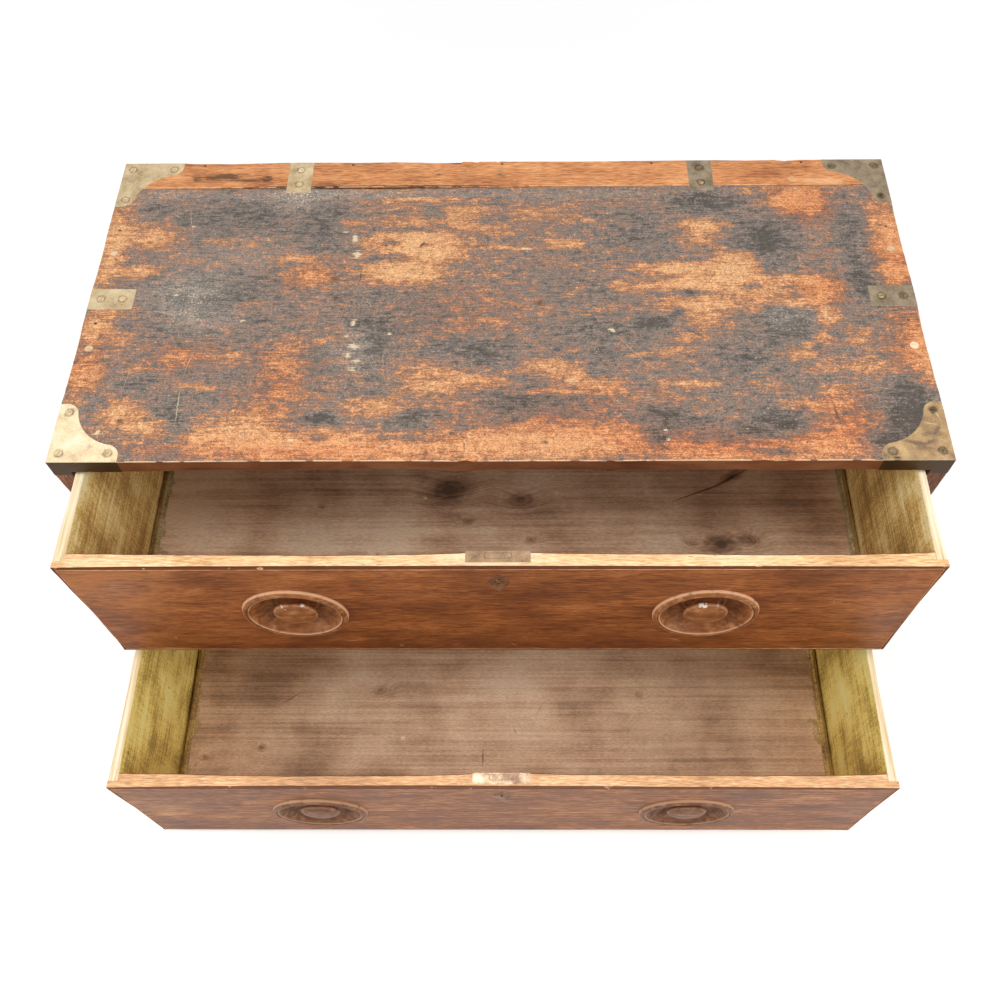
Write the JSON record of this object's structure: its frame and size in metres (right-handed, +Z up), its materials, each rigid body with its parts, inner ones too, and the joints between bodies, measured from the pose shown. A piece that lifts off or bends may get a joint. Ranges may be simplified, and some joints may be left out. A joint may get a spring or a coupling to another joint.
{
  "type": "campaign chest",
  "caption": "Campaign chest with brass-bound corners and long drawers that slide out, turned recessed wooden pulls and a lock in each drawer front.",
  "frame": {"origin": "centre of the underside of the case", "axes": "+X to the chest's right as seen from in front, -Y out of the drawer fronts, +Z up"},
  "size_m": [0.914, 0.6945, 0.4896],
  "materials": {
    "top_wood": "dark stain worn through to the wood, dull",
    "strip_wood": "worn bare hardwood",
    "case_wood": "old polish",
    "pine": "bare, dusty",
    "upper_front_wood": "old polish",
    "lower_front_wood": "old polish, faded",
    "painted_wood": "ochre paint, scuffed",
    "pull_wood": "turned, dark polish",
    "pellet_wood": "bare",
    "brass": "tarnished",
    "iron": "rusted dark"
  },
  "bodies": {
    "case": {"top_board": "top_wood", "top_rear_strip": "strip_wood", "side_panel_left": "case_wood", "side_panel_right": "case_wood", "drawer_divider": "case_wood", "bottom_board": "pine", "back_board_upper": "pine", "back_board_lower": "pine", "runner_left": "pine", "runner_right": "pine", "rear_rail": "pine", "dust_panel": "pine", "drawer_stops": "pine", "top_corner_front_left": "brass", "top_corner_front_right": "brass", "top_corner_rear_left": "brass", "top_corner_rear_right": "brass", "bottom_corner_front_left": "brass", "bottom_corner_front_right": "brass", "bottom_corner_rear_left": "brass", "bottom_corner_rear_right": "brass", "side_strap_left": "brass", "side_strap_right": "brass", "rear_strap_left": "brass", "rear_strap_right": "brass", "brass_screws": "brass", "top_nails": "iron", "back_nails": "iron", "top_plugs": "pellet_wood"},
    "upper_drawer": {"upper_drawer_front": "upper_front_wood", "upper_drawer_side_left": "painted_wood", "upper_drawer_side_right": "painted_wood", "upper_drawer_slip_left": "painted_wood", "upper_drawer_slip_right": "painted_wood", "upper_drawer_back": "painted_wood", "upper_drawer_bottom": "pine", "upper_pull_cups": "pull_wood", "upper_pull_knobs": "pull_wood", "upper_lock_case": "brass", "upper_escutcheon": "brass", "upper_lock_screws": "iron"},
    "upper_lock_bolt": {"upper_lock_bolt": "brass"},
    "lower_drawer": {"lower_drawer_front": "lower_front_wood", "lower_drawer_side_left": "painted_wood", "lower_drawer_side_right": "painted_wood", "lower_drawer_slip_left": "painted_wood", "lower_drawer_slip_right": "painted_wood", "lower_drawer_back": "painted_wood", "lower_drawer_bottom": "pine", "lower_pull_cups": "pull_wood", "lower_pull_knobs": "pull_wood", "lower_lock_case": "brass", "lower_escutcheon": "brass", "lower_lock_screws": "iron"},
    "lower_lock_bolt": {"lower_lock_bolt": "brass"}
  },
  "joints": [
    {"name": "upper_drawer_slide", "type": "slide", "parent": "case", "child": "upper_drawer", "axis": [0, -1, 0], "range_m": [-0.108, 0.232]},
    {"name": "upper_lock_bolt_slide", "type": "slide", "parent": "upper_drawer", "child": "upper_lock_bolt", "axis": [0, 0, 1], "range_m": [0, 0.009]},
    {"name": "lower_drawer_slide", "type": "slide", "parent": "case", "child": "lower_drawer", "axis": [0, -1, 0], "range_m": [-0.26, 0.08]},
    {"name": "lower_lock_bolt_slide", "type": "slide", "parent": "lower_drawer", "child": "lower_lock_bolt", "axis": [0, 0, 1], "range_m": [0, 0.009]}
  ]
}
